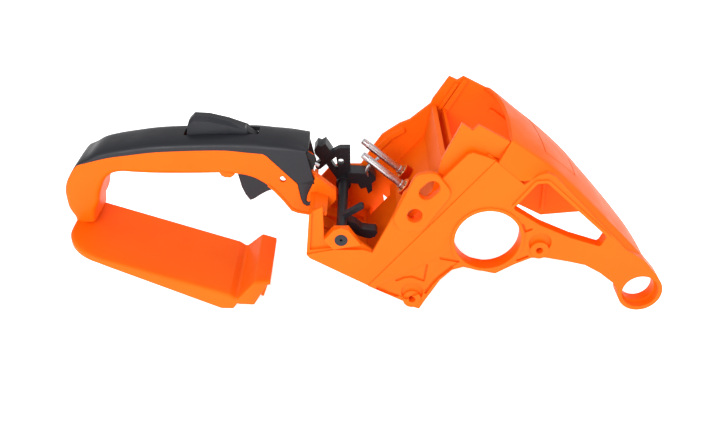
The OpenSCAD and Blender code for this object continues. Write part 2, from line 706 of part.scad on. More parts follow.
module switch_shaft() color(BLACK) {
    far = far_face - wall - 2.3;
    difference() {
        union() {
            cross_pin(shaft_axis, journal_r, -near_face, -40);
            cross_pin(shaft_axis, 3.75, -40.1, far);
            cross_pin(shaft_axis, shaft_pivot_r, far - 0.1, far_face - 0.4);
            cross_pin(shaft_axis, 5.6, 31, far);
            // collar beside the near wall
            cross_pin(shaft_axis, 5.4, -42.6, -39);
            // arched arm with its post
            across(35, 41) difference() {
                union() {
                    groove([[-33.6, 70], [-28, 75], [-21, 80.6], [-17.5, 82.6]], 5);
                    polygon([[-20.6, 80], [-17.5, 85.3], [-9.8, 85.3], [-9.8, 60], [-18.6, 58], [-19.4, 70]]);
                    groove([[-26, 73], [-17, 59]], 4.4);
                }
                translate([-16.9, 73.8]) circle(2.4);
            }
            // thumb knob
            across(33, 46.2) polygon([[-36, 81.4], [-36.4, 84.6], [-33.8, 88.6], [-31, 87.4], [-28, 89.4],
                [-22.8, 81.2], [-26.4, 76.6], [-31, 75]]);
            // fork towards the carburettor
            across(32, 45) polygon([[-12, 66.2], [2, 65.6], [4, 68], [8, 65], [9.4, 60.4], [6.4, 57.4],
                [6.6, 51], [3.6, 48.4], [2, 54], [-2, 52.6], [-4.2, 57], [-12, 57.6]]);
            // small pointer
            across(-23, -18) groove([[-13, 60], [-1.4, 67.2]], 3.4);
            // choke arm
            across(-24, -15) polygon([[-14, 59.6], [-5.2, 54.6], [-1, 50.6], [3.8, 49.7], [8.6, 49.2],
                [9.8, 47.4], [8, 44.2], [4.6, 42.8], [1.1, 43.4], [-3.9, 45.2], [-8.7, 49], [-15, 54]]);
        }
        // dimple in the journal's face
        cross_pin(shaft_axis, 1, -near_face - 1, -near_face + 2);
    }
}

module contact_spring() color(STEEL) {
    across(26, 30) groove([[29.1, 72], [14.2, 83.2], [6.6, 76.4], [3.4, 73.4], [1.8, 69.8], [3.4, 66.6]], 1);
}

module stud(y) color(STEEL) {
    stud_axis(stud_foot, y) {
        cylinder(h = stud_root_len, r = stud_root_r);
        cylinder(h = stud_len, r = stud_r);
    }
}

module stud_insert(y) color("#c9a24a") {
    stud_axis(stud_foot, y) difference() {
        cylinder(h = insert_len, r = insert_r);
        translate([0, 0, -1]) cylinder(h = 12, r = stud_root_r + 0.02);
    }
}

module stud_near() stud(stud_near_y);
module stud_far() stud(stud_far_y);
module stud_insert_near() stud_insert(stud_near_y);
module stud_insert_far() stud_insert(stud_far_y);

grip_frame();
hand_guard();
carburettor_box();
bulkhead();
far_side_wall();
filter_seat();
shroud();
side_bracket();
adjuster_plate();
handle_moulding();
interlock_lever();
interlock_pin();
interlock_spring();
throttle_trigger();
trigger_pin();
trigger_spring();
throttle_rod();
rod_boot();
switch_shaft();
contact_spring();
stud_near();
stud_far();
stud_insert_near();
stud_insert_far();
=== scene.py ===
"""Looks of the chainsaw's rear handle and carburettor housing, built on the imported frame."""
import json
import math

import bmesh
import bpy
from mathutils import Matrix, Vector


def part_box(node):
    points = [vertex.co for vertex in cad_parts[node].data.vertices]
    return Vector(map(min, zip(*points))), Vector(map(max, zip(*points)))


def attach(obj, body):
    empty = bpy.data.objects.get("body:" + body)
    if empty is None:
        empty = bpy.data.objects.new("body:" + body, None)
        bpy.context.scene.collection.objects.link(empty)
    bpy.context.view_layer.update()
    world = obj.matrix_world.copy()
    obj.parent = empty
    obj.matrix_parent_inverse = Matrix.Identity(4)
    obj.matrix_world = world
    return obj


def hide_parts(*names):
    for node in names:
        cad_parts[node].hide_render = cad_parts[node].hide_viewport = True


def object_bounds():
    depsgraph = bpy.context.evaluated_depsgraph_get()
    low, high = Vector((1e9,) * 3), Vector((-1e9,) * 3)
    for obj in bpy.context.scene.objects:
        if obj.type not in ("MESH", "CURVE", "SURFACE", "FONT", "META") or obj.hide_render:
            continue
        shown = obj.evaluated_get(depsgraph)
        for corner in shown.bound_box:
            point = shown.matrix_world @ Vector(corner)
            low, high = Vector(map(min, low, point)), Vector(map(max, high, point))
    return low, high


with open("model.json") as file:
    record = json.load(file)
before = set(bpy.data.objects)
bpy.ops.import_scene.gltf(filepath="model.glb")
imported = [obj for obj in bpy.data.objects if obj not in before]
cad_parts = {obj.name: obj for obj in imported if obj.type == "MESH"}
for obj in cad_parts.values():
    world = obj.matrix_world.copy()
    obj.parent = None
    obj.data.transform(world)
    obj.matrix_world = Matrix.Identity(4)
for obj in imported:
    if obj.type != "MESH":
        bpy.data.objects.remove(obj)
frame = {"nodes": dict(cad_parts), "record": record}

BOUNDS_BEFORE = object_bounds()
MM = 0.001


def box_mm(node):
    """The lowest and highest corners of a CAD node, in millimetres."""
    low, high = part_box(node)
    return Vector(low) / MM, Vector(high) / MM


# ---------- node materials ----------

def shader(name):
    """A new material with its node tree, its principled shader and a maker of nodes."""
    mat = bpy.data.materials.new(name)
    mat.use_nodes = True
    tree = mat.node_tree
    bsdf = tree.nodes["Principled BSDF"]

    def node(kind, **inputs):
        made = tree.nodes.new(kind)
        for key, value in inputs.items():
            made.inputs[key.replace("_", " ")].default_value = value
        return made

    return mat, tree, bsdf, node


def spread(node, low, high, first, second):
    """A node that maps the given range of its input to another range."""
    made = node("ShaderNodeMapRange")
    made.inputs["From Min"].default_value = low
    made.inputs["From Max"].default_value = high
    made.inputs["To Min"].default_value = first
    made.inputs["To Max"].default_value = second
    return made


def plastic(name, colour, dark, rough, grain, bump, shine=0.5, edge=0.0004):
    """Moulded plastic: fine grain, cloudy gloss, slight colour drift and softened edges."""
    mat, tree, bsdf, node = shader(name)
    link = tree.links.new
    coords = node("ShaderNodeTexCoord")
    drift = node("ShaderNodeTexNoise", Scale=14.0, Detail=3.0, Roughness=0.55)
    link(coords.outputs["Object"], drift.inputs["Vector"])
    mix = node("ShaderNodeMix")
    mix.data_type = "RGBA"
    mix.inputs[6].default_value = (*colour, 1)
    mix.inputs[7].default_value = (*dark, 1)
    share = spread(node, 0.35, 0.75, 0.0, 0.55)
    link(drift.outputs["Fac"], share.inputs["Value"])
    link(share.outputs["Result"], mix.inputs[0])
    link(mix.outputs[2], bsdf.inputs["Base Color"])
    cloud = node("ShaderNodeTexNoise", Scale=55.0, Detail=5.0, Roughness=0.6)
    link(coords.outputs["Object"], cloud.inputs["Vector"])
    gloss = spread(node, 0.3, 0.75, rough - 0.06, rough + 0.1)
    link(cloud.outputs["Fac"], gloss.inputs["Value"])
    link(gloss.outputs["Result"], bsdf.inputs["Roughness"])
    fine = node("ShaderNodeTexNoise", Scale=grain, Detail=2.0, Roughness=0.5)
    link(coords.outputs["Object"], fine.inputs["Vector"])
    soft = node("ShaderNodeBevel")
    soft.samples = 6
    soft.inputs["Radius"].default_value = edge
    relief = node("ShaderNodeBump", Strength=bump, Distance=0.0002)
    link(fine.outputs["Fac"], relief.inputs["Height"])
    link(soft.outputs["Normal"], relief.inputs["Normal"])
    link(relief.outputs["Normal"], bsdf.inputs["Normal"])
    bsdf.inputs["Specular IOR Level"].default_value = shine
    return mat


def metal(name, colour, rough, streak):
    """Bright turned or drawn metal with fine lines along it."""
    mat, tree, bsdf, node = shader(name)
    link = tree.links.new
    coords = node("ShaderNodeTexCoord")
    lines = node("ShaderNodeTexNoise", Scale=streak, Detail=4.0, Roughness=0.6)
    link(coords.outputs["Object"], lines.inputs["Vector"])
    gloss = spread(node, 0.3, 0.7, rough - 0.06, rough + 0.1)
    link(lines.outputs["Fac"], gloss.inputs["Value"])
    link(gloss.outputs["Result"], bsdf.inputs["Roughness"])
    relief = node("ShaderNodeBump", Strength=0.03, Distance=0.0001)
    link(lines.outputs["Fac"], relief.inputs["Height"])
    link(relief.outputs["Normal"], bsdf.inputs["Normal"])
    bsdf.inputs["Base Color"].default_value = (*colour, 1)
    bsdf.inputs["Metallic"].default_value = 1.0
    return mat


ORANGE = plastic("orange_nylon", (0.92, 0.13, 0.001), (0.88, 0.105, 0.001), 0.42, 900.0, 0.14, 0.14)
BLACK = plastic("black_nylon", (0.016, 0.017, 0.022), (0.010, 0.010, 0.013), 0.42, 700.0, 0.3, 0.3)
RUBBER = plastic("black_rubber", (0.014, 0.014, 0.015), (0.010, 0.010, 0.010), 0.6, 500.0, 0.3, 0.3)
STEEL = metal("bright_steel", (0.58, 0.58, 0.60), 0.26, 300.0)
BRASS = metal("brass", (0.72, 0.52, 0.24), 0.3, 300.0)
BY_SLOT = {
    "orange_plastic": ORANGE, "black_plastic": BLACK, "black_rubber": RUBBER,
    "bright_steel": STEEL, "brass_insert": BRASS,
}
SLOTS = {s["node"]: s["material_slot"] for s in frame["record"]["subparts"]}
BODIES = {n: body for body, nodes in frame["record"]["behaviour"]["bodies"].items() for n in nodes}

# ---------- the CAD's own nodes ----------

for name, obj in frame["nodes"].items():
    for s in obj.material_slots:
        s.material = BY_SLOT[SLOTS[name]]


# Degrees: facets this flat are merged, and edges sharper than this are rounded
FLAT_WITHIN = 0.6
SOFTEN_FROM = 28.0


def round_edges(obj, name, width, angle):
    """A modifier that rounds the edges sharper than angle degrees. width is in metres."""
    bevel = obj.modifiers.new(name, "BEVEL")
    bevel.width = width
    bevel.segments = 2
    bevel.limit_method = "ANGLE"
    bevel.angle_limit = math.radians(angle)
    bevel.use_clamp_overlap = True


def soften(name, width):
    """Rounds the crisp edges of a CAD node with modifiers only. width is in metres."""
    obj = frame["nodes"][name]
    weld = obj.modifiers.new("weld", "WELD")
    weld.merge_threshold = 0.00001
    flat = obj.modifiers.new("flat", "DECIMATE")
    flat.decimate_type = "DISSOLVE"
    flat.angle_limit = math.radians(FLAT_WITHIN)
    round_edges(obj, "bevel", width, SOFTEN_FROM)


for name, width in (
    ("carburettor_box", 0.0006), ("bulkhead", 0.0006), ("far_side_wall", 0.0007), ("filter_seat", 0.0006),
    ("side_bracket", 0.0006), ("switch_shaft", 0.0005), ("rod_boot", 0.0006),
):
    soften(name, width)

# ---------- mesh helpers: outlines are [x, z] points in millimetres ----------


def curve_through(points, per):
    """Points on a smooth curve through the given ones, with per steps to a span."""
    points = [Vector(p) for p in points]
    gaps = [max((b - a).length, 1e-9) for a, b in zip(points, points[1:])]
    chords = [(b - a) / g for a, b, g in zip(points, points[1:], gaps)]
    slopes = [chords[0]]
    for a, b, g, h in zip(chords, chords[1:], gaps, gaps[1:]):
        slopes.append((a * h + b * g) / (g + h))
    slopes.append(chords[-1])
    out = []
    for i, g in enumerate(gaps):
        for k in range(per):
            t = k / per
            out.append(
                points[i] * (2 * t**3 - 3 * t**2 + 1) + slopes[i] * g * (t**3 - 2 * t**2 + t)
                + points[i + 1] * (3 * t**2 - 2 * t**3) + slopes[i + 1] * g * (t**3 - t**2)
            )
    return out + [points[-1]]


def fillet(points, radius, steps=4):
    """An outline with its corners rounded. radius is one number or one for each corner."""
    count = len(points)
    radii = radius if isinstance(radius, (list, tuple)) else [radius] * count
    points = [Vector(p) for p in points]
    out = []
    for i, p in enumerate(points):
        a, b = points[i - 1] - p, points[(i + 1) % count] - p
        half = a.angle(b) / 2
        reach = min(radii[i] / max(math.tan(half), 1e-3), 0.48 * a.length, 0.48 * b.length)
        if reach < 0.02:
            out.append(p)
            continue
        start, end = p + a.normalized() * reach, p + b.normalized() * reach
        for k in range(steps + 1):
            t = k / steps
            out.append(start * (1 - t) ** 2 + p * 2 * t * (1 - t) + end * t**2)
    return out


def grow(points, width):
    """The outline moved outwards by width, with mitred corners."""
    points = [Vector(p) for p in points]
    turn = sum(a.x * b.y - a.y * b.x for a, b in zip(points, points[1:] + points[:1]))
    side = 1 if turn > 0 else -1
    out = []
    for i, p in enumerate(points):
        a = (p - points[i - 1]).normalized()
        b = (points[(i + 1) % len(points)] - p).normalized()
        normal = Vector((a.y + b.y, -a.x - b.x)) * side / (1 + a.dot(b))
        out.append(p + normal * width)
    return out


def circle(centre, r, steps=48):
    """A round outline."""
    turn = 2 * math.pi / steps
    return [(centre[0] + r * math.cos(k * turn), centre[1] + r * math.sin(k * turn)) for k in range(steps)]


def slot_outline(a, b, r, steps=12):
    """A straight slot's outline with round ends."""
    a, b = Vector(a), Vector(b)
    start = math.atan2(b.y - a.y, b.x - a.x) + math.pi / 2
    out = []
    for centre, turn in ((a, start), (b, start + math.pi)):
        for k in range(steps + 1):
            angle = turn + math.pi * k / steps
            out.append(centre + Vector((math.cos(angle), math.sin(angle))) * r)
    return out


def tidy(mesh):
    """Welds a mesh and turns its faces outwards."""
    bm = bmesh.new()
    bm.from_mesh(mesh)
    bmesh.ops.remove_doubles(bm, verts=bm.verts, dist=2e-6)
    bmesh.ops.recalc_face_normals(bm, faces=bm.faces)
    bm.to_mesh(mesh)
    bm.free()
    return mesh


def slab(outline, y0, y1, rim=0.0, holes=(), steps=2):
    """A side outline extruded across the body from y0 to y1, with both rims rounded."""
    curve = bpy.data.curves.new("slab", "CURVE")
    curve.dimensions = "2D"
    curve.fill_mode = "BOTH"
    for loop in (outline, *holes):
        spline = curve.splines.new("POLY")
        spline.points.add(len(loop) - 1)
        for point, (x, z) in zip(spline.points, loop):
            point.co = (x * MM, z * MM, 0, 1)
        spline.use_cyclic_u = True
    curve.extrude = ((y1 - y0) / 2 - rim) * MM
    if rim:
        curve.bevel_depth = rim * MM
        curve.bevel_resolution = steps
        curve.offset = -rim * MM
    obj = bpy.data.objects.new("slab", curve)
    bpy.context.scene.collection.objects.link(obj)
    mesh = bpy.data.meshes.new_from_object(obj.evaluated_get(bpy.context.evaluated_depsgraph_get()))
    bpy.data.objects.remove(obj)
    bpy.data.curves.remove(curve)
    mesh.transform(Matrix.Translation((0, (y0 + y1) / 2 * MM, 0)) @ Matrix.Rotation(math.pi / 2, 4, "X"))
    return tidy(mesh)


def plan(outline, z0, z1):
    """A plan outline of [x, y] points extruded upwards from z0 to z1."""
    mesh = slab(outline, -z1, -z0)
    mesh.transform(Matrix.Rotation(-math.pi / 2, 4, "X"))
    return mesh


def loft(rings):
    """A closed mesh through rings of points in millimetres; each ring has the same number of points."""
    bm = bmesh.new()
    rows = [[bm.verts.new(Vector(p) * MM) for p in ring] for ring in rings]
    count = len(rows[0])
    for a, b in zip(rows, rows[1:]):
        for k in range(count):
            m = (k + 1) % count
            bm.faces.new((a[k], a[m], b[m], b[k]))
    bm.faces.new(rows[0])
    bm.faces.new(rows[-1])
    mesh = bpy.data.meshes.new("loft")
    bm.to_mesh(mesh)
    bm.free()
    return tidy(mesh)


def joined(*meshes):
    """One mesh that holds all the given ones."""
    bm = bmesh.new()
    for mesh in meshes:
        bm.from_mesh(mesh)
        bpy.data.meshes.remove(mesh)
    out = bpy.data.meshes.new("joined")
    bm.to_mesh(out)
    bm.free()
    return out


def cut(mesh, *cutters):
    """The mesh less the cutters."""
    target = bpy.data.objects.new("target", mesh)
    bpy.context.scene.collection.objects.link(target)
    tools = []
    for cutter in cutters:
        tool = bpy.data.objects.new("tool", cutter)
        bpy.context.scene.collection.objects.link(tool)
        tools.append(tool)
        mod = target.modifiers.new("cut", "BOOLEAN")
        mod.operation = "DIFFERENCE"
        mod.object = tool
        mod.solver = "EXACT"
    out = bpy.data.meshes.new_from_object(target.evaluated_get(bpy.context.evaluated_depsgraph_get()))
    for obj in (target, *tools):
        bpy.data.objects.remove(obj)
    return out


def piece(name, mesh, node, angle=32, rim=0.0, rim_angle=40, stands_in=True):
    """Makes the object for a mesh, on a CAD node's body, in its slot and, with stands_in, in its place.

    angle is where shading turns sharp, and rim rounds the edges sharper than rim_angle.
    """
    mesh.materials.clear()
    mesh.materials.append(BY_SLOT[SLOTS[node]])
    mesh.shade_smooth()
    mesh.set_sharp_from_angle(angle=math.radians(angle))
    obj = bpy.data.objects.new(name, mesh)
    bpy.context.scene.collection.objects.link(obj)
    if rim:
        round_edges(obj, "rim", rim * MM, rim_angle)
    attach(obj, BODIES[node])
    if stands_in:
        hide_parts(node)
    return obj


# ---------- the grip ----------

GRIP_LOW, GRIP_HIGH = box_mm("grip_frame")
GRIP_HALF = GRIP_HIGH.y
# Half widths of the grip's hollow and between the moulding's skirts
HOLLOW_HALF = 14.0
SKIRT_IN = 14.3
TRIGGER_PIVOT = (-66, 97)
INTERLOCK_PIVOT = (-74, 109.2)
HOOK_PEG = (-37.6, 70)
PIN_HOLE = (-55.2, 85.9)
PIN_HOLE_R = 2.3
# Bores round the two pins, fixed to the housing and turning on them
TRIGGER_BORE = 2.02
TRIGGER_EYE = 2.05
INTERLOCK_BORE = 1.52
INTERLOCK_EYE = 1.55
SKIRT_GAP = 0.25

SKIRT = [
    (-68, 106.5), (-66.5, 104.6), (-45.3, 82.3), (-43.4, 71.5), (-42, 67), (-39.6, 65.2), (-36.8, 65.6),
    (-34.6, 68.4), (-34.2, 71.6), (-35.4, 71.8), (-36.2, 69.2), (-38.2, 68), (-39.8, 69.6), (-38.9, 74),
    (-33.4, 86.3), (-33.8, 90.3), (-37, 97), (-38, 106.5),
]
GRIP_HOLLOW = [
    (-196, 60), (-202.5, 66), (-203.5, 76), (-200, 84.6), (-190, 104), (-66, 112), (-30, 95), (-30, 50),
    (-56, 54), (-80, 76), (-102, 85), (-102, 93.8), (-125, 93.8), (-158, 95), (-171, 95.6), (-180, 91.6),
    (-186.4, 80), (-189, 70), (-193, 60),
]
# Sections of the grip: outer x, z, inner x, z, near half width, outer and inner corner radius
GRIP_SECTIONS = [
    (-36, 60, -36, 57.4, 17, 0.3, 0.8), (-36, 70, -41, 58.6, 17, 0.3, 0.8),
    (-36, 80, -46, 59.8, 17, 0.3, 0.8), (-36, 90.5, -50.6, 61.2, 17, 0.3, 0.9),
    (-44, 94.4, -54.4, 67, 17, 0.3, 1), (-52, 98.2, -59.2, 73.6, 17, 0.3, 1.1),
    (-60, 101.8, -64.6, 79.8, 17, 0.3, 1.2), (-66.5, 104.6, -70.6, 84.4, 17, 0.3, 1.4),
    (-80, 106.1, -80, 88.4, 17, 0.3, 2), (-93, 107.6, -95, 89.8, 17, 0.3, 3),
    (-110, 107.6, -111, 89.3, 17, 0.3, 4), (-125, 107, -125, 89, 17, 0.3, 4.4),
    (-144, 106, -144, 89.2, 17, 0.3, 4.4), (-158, 104.2, -156.6, 90, 17, 0.3, 4),
    (-171.6, 102.4, -165.6, 90.8, 17, 0.3, 3.6), (-184, 99.4, -172.4, 89.4, 17, 0.4, 3.6),
    (-195, 96.4, -176.8, 86, 17, 0.8, 3.6), (-201.8, 88, -179.8, 81.4, 17, 2.4, 4),
    (-205.6, 81, -182, 76.4, 17, 3.4, 4), (-207, 75, -183.4, 72.2, 17, 3.6, 4),
    (-207, 68, -184.4, 68, 17, 3.8, 4), (-206.4, 62.4, -186.2, 64, 17, 3.8, 4),
    (-204.8, 59, -187.8, 61.4, 17, 3.4, 3.6), (-203.4, 56.4, -188.6, 58.8, 16.8, 3, 3),
    (-202.6, 51.6, -189.6, 52, 16.4, 2.4, 2.4),
]
# The outline of the raised rim along the front of the cheek
CHEEK_RIM = [
    (-37, 57.9), (-46, 59.6), (-50.4, 61.5), (-56, 69.6), (-61.6, 76.6), (-66, 80.8), (-65.4, 82.2),
    (-60.6, 78), (-54.8, 70.8), (-49.8, 63.6), (-45.6, 61.4), (-37, 59.7),
]


def section(s, steps=5):
    """A ring across the grip between its outer and inner points, with rounded corners."""
    outer, inner, near = Vector((s[0], 0, s[1])), Vector((s[2], 0, s[3])), s[4]
    up = (outer - inner).normalized()
    length = (outer - inner).length
    ring = []
    corners = ((180, False, -near), (270, True, -near), (0, True, GRIP_HALF), (90, False, GRIP_HALF))
    for turn, top, width in corners:
        r = min(s[5] if top else s[6], length * 0.45)
        along = length - r if top else r
        side = math.copysign(abs(width) - r, width)
        for k in range(steps + 1):
            a = math.radians(turn + 90 * k / steps)
            ring.append(inner + up * (along + r * math.cos(a)) + Vector((0, side + r * math.sin(a), 0)))
    for p in ring:
        p.x = max(p.x, GRIP_LOW.x)
    return ring


def grip():
    shell = loft([section(s) for s in curve_through(GRIP_SECTIONS, 5)])
    cutters = [slab(GRIP_HOLLOW, -HOLLOW_HALF, HOLLOW_HALF), slab(circle(PIN_HOLE, PIN_HOLE_R, 32), -20, 20)]
    for side in (-1, 1):
        y0, y1 = sorted((side * SKIRT_IN, side * (GRIP_HALF + 2)))
        cutters.append(slab(grow(SKIRT, SKIRT_GAP), y0, y1))
    shell = cut(shell, *cutters)
    pegs = []
    for side in (-1, 1):
        y0, y1 = sorted((side * 14.2, side * (GRIP_HALF - 0.3)))
        pegs.append(slab(circle(HOOK_PEG, 1.2, 24), y0, y1, rim=0.3))
        y0, y1 = sorted((side * 10, side * 14.1))
        bore = circle(TRIGGER_PIVOT, TRIGGER_BORE, 32)
        pegs.append(slab(circle(TRIGGER_PIVOT, 4.2, 32), y0, y1, rim=0.4, holes=[bore]))
        # the small bump beside the rear end of the trigger's slot
        y0, y1 = sorted((side * 10, side * GRIP_HALF))
        bump = fillet([(-99, 92), (-97.4, 88.6), (-95, 87.2), (-91, 87), (-87, 90)], 1.2)
        pegs.append(slab(bump, y0, y1, rim=0.6))
        y0, y1 = sorted((side * (GRIP_HALF - 0.4), side * (GRIP_HALF + 0.7)))
        pegs.append(slab(CHEEK_RIM, y0, y1, rim=0.3))
    piece("grip_shell", joined(shell, *pegs), "grip_frame", rim=0.4, rim_angle=50)


# ---------- the hand guard ----------

# The guard's floor falls towards its near edge by this angle
GUARD_TILT = math.radians(3.2)
GUARD_THICK = 2.6
# Side lines of the floor's top and of the lip's lower edge
GUARD_TOP = [(-203, 55.7), (-93.4, 15.9), (-88.5, 12), (-76, 22.8), (-65.9, 19.1)]
GUARD_LIP = [
    (-203, 49.6), (-180, 43.2), (-100, 4.2), (-91.6, 3.9), (-88.4, 8.4), (-77.4, 3.9), (-73, 10), (-68, 18),
]
GUARD_CORNER = 26.0
GUARD_REAR = -203.0
GUARD_NEAR = -49.0
GUARD_FRONT = -65.9
GUARD_CHAMFER = -84.0


def line_at(points, x):
    """The height of a side line at x."""
    for (x0, z0), (x1, z1) in zip(points, points[1:]):
        if x <= x1:
            return z0 + (z1 - z0) * (max(x, x0) - x0) / (x1 - x0)
    return points[-1][1]


def guard():
    top_line = fillet([(-215, 60.06)] + GUARD_TOP + [(-60, 16.9)], 2.4, 6)
    lip_line = fillet([(-215, 53)] + GUARD_LIP + [(-60, 20)], 0.7, 4)
    arc_x = GUARD_REAR + GUARD_CORNER
    xs = sorted({round(p[0], 2) for p in top_line + lip_line if arc_x < p[0] < GUARD_FRONT})
    xs = [arc_x] + xs + [GUARD_FRONT]
    stations = []
    for x in reversed(xs):
        y = GUARD_NEAR + 13 * max(0, x - GUARD_CHAMFER) / (-64 - GUARD_CHAMFER)
        stations.append((Vector((x, y)), Vector((0, -1)), Vector((x, GRIP_HALF))))
    arc = 14
    centre = Vector((arc_x, GUARD_NEAR + GUARD_CORNER))
    for k in range(1, arc + 1):
        a = math.radians(270 - 90 * k / arc)
        out = Vector((math.cos(a), math.sin(a)))
        stations.append((centre + out * GUARD_CORNER, out, Vector((centre.x - 6.0 * k / arc, GRIP_HALF))))
    straight = 5
    for k in range(1, straight + 1):
        y = centre.y + (GRIP_HALF - 1.0 - centre.y) * k / straight
        far = Vector((centre.x - 6.0 - 12.0 * k / straight, GRIP_HALF))
        stations.append((Vector((GUARD_REAR, y)), Vector((-1, 0)), far))
    rings = []
    roll, flat, turn = 2.8, 12, 6
    for edge, out, far in stations:
        start = edge - out * roll
        ring = []
        for k in range(flat + 1):
            p = far + (start - far) * k / flat
            dish = 0.5 * math.sin(math.pi * k / flat)
            ring.append((p.x, p.y, line_at(top_line, p.x) - dish))
        for k in range(1, turn + 1):
            a = math.radians(90 * k / turn)
            p = start + out * roll * math.sin(a)
            ring.append((p.x, p.y, line_at(top_line, p.x) - roll * (1 - math.cos(a))))
        bottom = line_at(lip_line, edge.x)
        bottom = min(bottom, line_at(top_line, edge.x) - roll - 0.4)
        ring.append((edge.x, edge.y, bottom + 0.5))
        p = edge - out * 0.5
        ring.append((p.x, p.y, bottom))
        p = edge - out * (GUARD_THICK - 0.5)
        ring.append((p.x, p.y, bottom))
        p = edge - out * GUARD_THICK
        ring.append((p.x, p.y, bottom + 0.5))
        under = line_at(top_line, p.x) - GUARD_THICK
        ring.append((p.x, p.y, max(under - 1.6, bottom + 0.6)))
        for k in range(flat, -1, -1):
            p = far + (start - far) * k / flat
            ring.append((p.x, p.y, line_at(top_line, p.x) - GUARD_THICK - 0.3))
        rings.append(ring)
    plate = loft(rings)
    # the front flange hangs from the ridge and leans back under it
    leaf = fillet([(-70, 17), (-66.6, 18.8), (-71.3, 4.9), (-73.4, 5.5)], 0.6)
    flange = slab(leaf, GUARD_NEAR + 13, GRIP_HALF, rim=0.4)
    mesh = joined(plate, flange)
    pivot = Matrix.Translation((0, GRIP_HALF * MM, 0))
    mesh.transform(pivot @ Matrix.Rotation(GUARD_TILT, 4, "X") @ pivot.inverted())
    piece("hand_guard_shell", mesh, "hand_guard", angle=38)


# ---------- the black moulding ----------

# Stations along the top of the grip: x, height of the seam, height of the crown
MOULDING_LINE = [
    (-198, 93.3, 93.9), (-195, 96.4, 97.6), (-189, 98.1, 101.2), (-181.5, 100.2, 106.1),
    (-171.6, 102.4, 108.9), (-159.5, 104.1, 111.1), (-144, 106.1, 113.3), (-126, 107.2, 114.3),
    (-110, 107.7, 114.8), (-93, 107.7, 115.1), (-80, 106.4, 115.3), (-74, 105.7, 115.3), (-62, 104.7, 114),
    (-50, 104.8, 112.4), (-41, 105.2, 110), (-36.8, 106, 108.4),
]
# The front edge's reach beyond the last station, by height
FRONT_EDGE = [(82, 3.2), (90.3, 2.8), (97, -0.8), (103.3, -4), (106.4, -1.8), (109, 0)]
MOULDING_SKIN = 2.5
LEVER_SLOT = [(-122.4, -6.5), (-71.4, -6.5), (-71.4, 6.5), (-122.4, 6.5)]


def moulding_ring(s, inset, steps=28):
    """One arch of the moulding, from the foot of its near side over the crown to the far side."""
    x, seam, crown, foot = s
    half = GRIP_HALF - inset
    ring = []
    for k in range(steps + 1):
        a = math.pi * k / steps
        lift = math.sin(a) ** 0.62 if 0 < k < steps else 0.0
        y = -half * math.copysign(abs(math.cos(a)) ** 0.9, math.cos(a))
        ring.append(Vector((x, y, seam + max(crown - seam - inset, 0.25) * lift)))
    low, high = Vector((x, -half, foot)), Vector((x, half, foot))
    ring = [low] + ring + [high]
    for p in ring:
        share = max(0.0, (x + 52) / 15.2) ** 2
        p.x += share * line_at(FRONT_EDGE, p.z)
    return ring


def moulding():
    fine = curve_through(MOULDING_LINE, 4)
    stations = []
    for x, seam, crown in fine:
        foot = seam - 0.2
        if x > -66.5:
            foot = max(82.3, 104.6 - (x + 66.5) * (104.6 - 82.3) / (66.5 - 45.3))
        stations.append((x, seam, crown, foot))
    outer = [moulding_ring(s, 0) for s in stations]
    inner = [moulding_ring(s, MOULDING_SKIN) for s in stations]
    shell = loft([a + b[::-1] for a, b in zip(outer, inner)])
    shell = cut(shell, plan(fillet(LEVER_SLOT, 1.6), 108, 140))
    front = fillet([(-39.8, 103), (-37.4, 104.6), (-37.4, 107.6), (-39.8, 109)], 0.5)
    parts = [shell, slab(front, -13.8, 13.8, rim=0.3)]
    hook = SKIRT[2:15]
    for side in (-1, 1):
        y0, y1 = sorted((side * (SKIRT_IN + 0.15), side * GRIP_HALF))
        parts.append(slab(fillet(hook, 0.7), y0, y1, rim=0.35))
        y0, y1 = sorted((side * 8.2, side * 14.6))
        boss = circle(INTERLOCK_PIVOT, 3.2, 32)
        parts.append(slab(boss, y0, y1, rim=0.4, holes=[circle(INTERLOCK_PIVOT, INTERLOCK_BORE, 24)]))
    piece("grip_moulding", joined(*parts), "handle_moulding", angle=40, rim=0.35, rim_angle=48)


# ---------- the lever, the trigger and their springs ----------

def lever():
    low = [(-120.4, 113), (-119.4, 120), (-115.6, 123.8), (-104.6, 123.6), (-92, 120.6), (-79.6, 117.4),
           (-78, 114.8), (-90, 114.4), (-108, 112), (-119, 111)]
    top = [(-119.6, 113), (-118.4, 123.6), (-114.8, 127.1), (-104.8, 126.5), (-92, 123.3), (-80.6, 119),
           (-79, 114.8), (-90, 114.4), (-108, 112), (-118.4, 111)]
    low, top = fillet(low, 0.8), fillet(top, 0.8)
    stations = ((-6, low), (-3.4, top), (3.4, top), (6, low))
    parts = [loft([[(p[0], y, p[1]) for p in outline] for y, outline in stations])]
    arm = slot_outline((-84, 116), INTERLOCK_PIVOT, 3.4)
    parts.append(slab(arm, -4, 4, rim=0.5, holes=[circle(INTERLOCK_PIVOT, INTERLOCK_EYE, 24)]))
    parts.append(slab([(-98, 114), (-90, 115.5), (-92, 108.5), (-97, 106)], -4, 4, rim=0.5))
    piece("lever_pad", joined(*parts), "interlock_lever", angle=20, rim=0.35, rim_angle=22)


